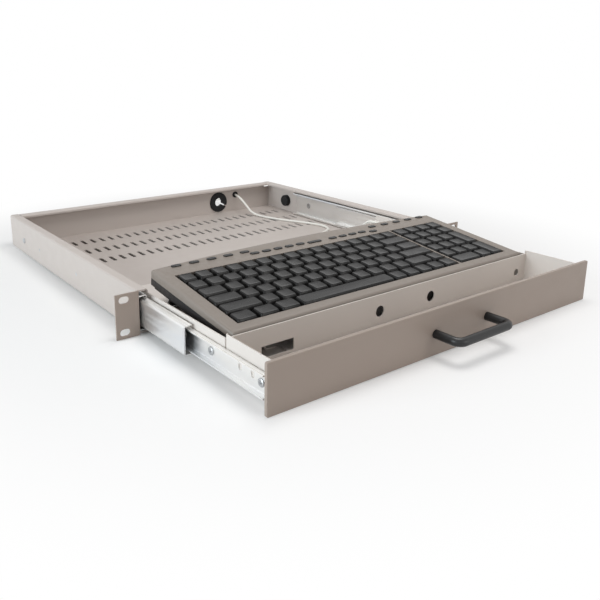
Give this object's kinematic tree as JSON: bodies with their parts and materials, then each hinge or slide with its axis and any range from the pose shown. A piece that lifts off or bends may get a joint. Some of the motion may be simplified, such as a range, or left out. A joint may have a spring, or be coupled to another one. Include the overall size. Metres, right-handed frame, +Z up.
{
  "type": "rack keyboard drawer",
  "caption": "Low rack shelf: open chassis tray with mounting ears, telescopic ball slides and a pull-out drawer with panel, bow handle and a keyboard on fold-out feet",
  "frame": {"origin": "Centre of the four ear slots, on the front faces of the ears, at half the unit height", "axes": "+X to the right seen from the front, +Y to the rear, +Z up"},
  "size_m": [0.4826, 0.7148, 0.0577],
  "materials": {
    "panel_paint": "satin powder coat",
    "light_paint": "satin powder coat",
    "zinc": "bright zinc plating",
    "cage_steel": "plain steel",
    "ball_steel": "polished",
    "screws": "zinc plating",
    "black_rubber": "matt",
    "black_handle": "satin",
    "clip_plastic": "matt",
    "keyboard_shell": "fine grain",
    "keyboard_base": "fine grain",
    "key_caps": "fine grain",
    "key_plate": "matt",
    "membrane": "clear film over tracks",
    "dome_rubber": "matt",
    "circuit_board": "solder mask",
    "cord_sheath": "satin",
    "tie": "matt",
    "plug_metal": "nickel plating"
  },
  "bodies": {
    "chassis": {"chassis_tray": "panel_paint", "cable_grommet": "black_rubber", "cord_bush": "black_rubber", "rubber_buffers": "black_rubber", "buffer_screws": "screws", "slide_rivets": "screws", "left_slide_outer": "zinc", "right_slide_outer": "zinc", "cord_chassis_run": "cord_sheath", "cord_coil": "cord_sheath", "cord_tie": "tie", "cord_plug": "cord_sheath", "plug_shell": "plug_metal"},
    "left_slide_middle": {"left_slide_middle": "zinc"},
    "right_slide_middle": {"right_slide_middle": "zinc"},
    "left_outer_cage": {"left_outer_cage": "cage_steel", "left_outer_balls": "ball_steel"},
    "right_outer_cage": {"right_outer_cage": "cage_steel", "right_outer_balls": "ball_steel"},
    "left_inner_cage": {"left_inner_cage": "cage_steel", "left_inner_balls": "ball_steel"},
    "right_inner_cage": {"right_inner_cage": "cage_steel", "right_inner_balls": "ball_steel"},
    "drawer": {"drawer_tray": "light_paint", "front_frame": "light_paint", "front_panel": "panel_paint", "panel_nuts": "screws", "handle": "black_handle", "handle_screws": "screws", "handle_washers": "screws", "left_keyboard_rail": "light_paint", "right_keyboard_rail": "light_paint", "floor_rivets": "screws", "tray_screws": "screws", "tray_nuts": "screws", "cord_clip": "clip_plastic", "clip_rivet": "screws", "left_slide_inner": "zinc", "right_slide_inner": "zinc", "cord_keyboard_run": "cord_sheath"},
    "keyboard": {"keyboard_lid": "keyboard_shell", "keyboard_base": "keyboard_base", "foot_strips": "black_rubber", "shell_screws": "screws", "key_plate": "key_plate", "key_membrane": "membrane", "rubber_dome_sheet": "dome_rubber", "keyboard_board": "circuit_board", "strain_relief": "cord_sheath"},
    "left_flip_foot": {"left_flip_foot": "keyboard_base"},
    "right_flip_foot": {"right_flip_foot": "keyboard_base"},
    "keys_bottom_row": {"keys_bottom_row": "key_caps"},
    "space_bar": {"space_bar": "key_caps"},
    "keys_shift_row": {"keys_shift_row": "key_caps"},
    "keys_home_row": {"keys_home_row": "key_caps"},
    "keys_upper_row": {"keys_upper_row": "key_caps"},
    "keys_number_row": {"keys_number_row": "key_caps"},
    "keys_function_row": {"keys_function_row": "key_caps"},
    "keys_number_pad": {"keys_number_pad": "key_caps"},
    "hot_keys": {"hot_keys": "key_caps"}
  },
  "joints": [
    {"name": "drawer_slide", "type": "slide", "parent": "chassis", "child": "drawer", "axis": [0, -1, 0], "range_m": [-0.1933, 0.09], "deforming": ["cord_chassis_run"]},
    {"name": "left_slide_middle_travel", "type": "slide", "parent": "chassis", "child": "left_slide_middle", "axis": [0, -1, 0], "range_m": [-0.09665, 0.045]},
    {"name": "left_outer_cage_travel", "type": "slide", "parent": "chassis", "child": "left_outer_cage", "axis": [0, -1, 0], "range_m": [-0.04833, 0.0225]},
    {"name": "left_inner_cage_travel", "type": "slide", "parent": "chassis", "child": "left_inner_cage", "axis": [0, -1, 0], "range_m": [-0.14498, 0.0675]},
    {"name": "right_slide_middle_travel", "type": "slide", "parent": "chassis", "child": "right_slide_middle", "axis": [0, -1, 0], "range_m": [-0.09665, 0.045]},
    {"name": "right_outer_cage_travel", "type": "slide", "parent": "chassis", "child": "right_outer_cage", "axis": [0, -1, 0], "range_m": [-0.04833, 0.0225]},
    {"name": "right_inner_cage_travel", "type": "slide", "parent": "chassis", "child": "right_inner_cage", "axis": [0, -1, 0], "range_m": [-0.14498, 0.0675]},
    {"name": "keyboard_tilt", "type": "hinge", "parent": "drawer", "child": "keyboard", "pos_m": [0, -0.1115, 0.0008], "axis": [1, 0, 0], "range_deg": [-6.2, 0], "deforming": ["cord_keyboard_run"]},
    {"name": "left_foot_fold", "type": "hinge", "parent": "keyboard", "child": "left_flip_foot", "pos_m": [-0.174, -0.00835, 0.01422], "axis": [1, 0, 0], "range_deg": [0, 61.21]},
    {"name": "right_foot_fold", "type": "hinge", "parent": "keyboard", "child": "right_flip_foot", "pos_m": [0.174, -0.00835, 0.01422], "axis": [1, 0, 0], "range_deg": [0, 61.21]},
    {"name": "keys_bottom_row_press", "type": "slide", "parent": "keyboard", "child": "keys_bottom_row", "axis": [0, -0.108, 0.9942], "range_m": [-0.003, 0], "stiffness_N_per_m": 300, "springref_m": 0.002},
    {"name": "space_bar_press", "type": "slide", "parent": "keyboard", "child": "space_bar", "axis": [0, -0.108, 0.9942], "range_m": [-0.003, 0], "stiffness_N_per_m": 300, "springref_m": 0.002},
    {"name": "keys_shift_row_press", "type": "slide", "parent": "keyboard", "child": "keys_shift_row", "axis": [0, -0.108, 0.9942], "range_m": [-0.003, 0], "stiffness_N_per_m": 300, "springref_m": 0.002},
    {"name": "keys_home_row_press", "type": "slide", "parent": "keyboard", "child": "keys_home_row", "axis": [0, -0.108, 0.9942], "range_m": [-0.003, 0], "stiffness_N_per_m": 300, "springref_m": 0.002},
    {"name": "keys_upper_row_press", "type": "slide", "parent": "keyboard", "child": "keys_upper_row", "axis": [0, -0.108, 0.9942], "range_m": [-0.003, 0], "stiffness_N_per_m": 300, "springref_m": 0.002},
    {"name": "keys_number_row_press", "type": "slide", "parent": "keyboard", "child": "keys_number_row", "axis": [0, -0.108, 0.9942], "range_m": [-0.003, 0], "stiffness_N_per_m": 300, "springref_m": 0.002},
    {"name": "keys_function_row_press", "type": "slide", "parent": "keyboard", "child": "keys_function_row", "axis": [0, -0.108, 0.9942], "range_m": [-0.003, 0], "stiffness_N_per_m": 300, "springref_m": 0.002},
    {"name": "keys_number_pad_press", "type": "slide", "parent": "keyboard", "child": "keys_number_pad", "axis": [0, -0.108, 0.9942], "range_m": [-0.003, 0], "stiffness_N_per_m": 300, "springref_m": 0.002},
    {"name": "hot_keys_press", "type": "slide", "parent": "keyboard", "child": "hot_keys", "axis": [0, -0.108, 0.9942], "range_m": [-0.0008, 0], "stiffness_N_per_m": 300, "springref_m": 0.002}
  ],
  "couplings": [
    {"joint": "left_slide_middle_travel", "follows": "drawer_slide", "ratio": 0.5},
    {"joint": "left_outer_cage_travel", "follows": "drawer_slide", "ratio": 0.25},
    {"joint": "left_inner_cage_travel", "follows": "drawer_slide", "ratio": 0.75},
    {"joint": "right_slide_middle_travel", "follows": "drawer_slide", "ratio": 0.5},
    {"joint": "right_outer_cage_travel", "follows": "drawer_slide", "ratio": 0.25},
    {"joint": "right_inner_cage_travel", "follows": "drawer_slide", "ratio": 0.75},
    {"joint": "left_foot_fold", "follows": "keyboard_tilt", "ratio": -9.871},
    {"joint": "right_foot_fold", "follows": "keyboard_tilt", "ratio": -9.871}
  ]
}
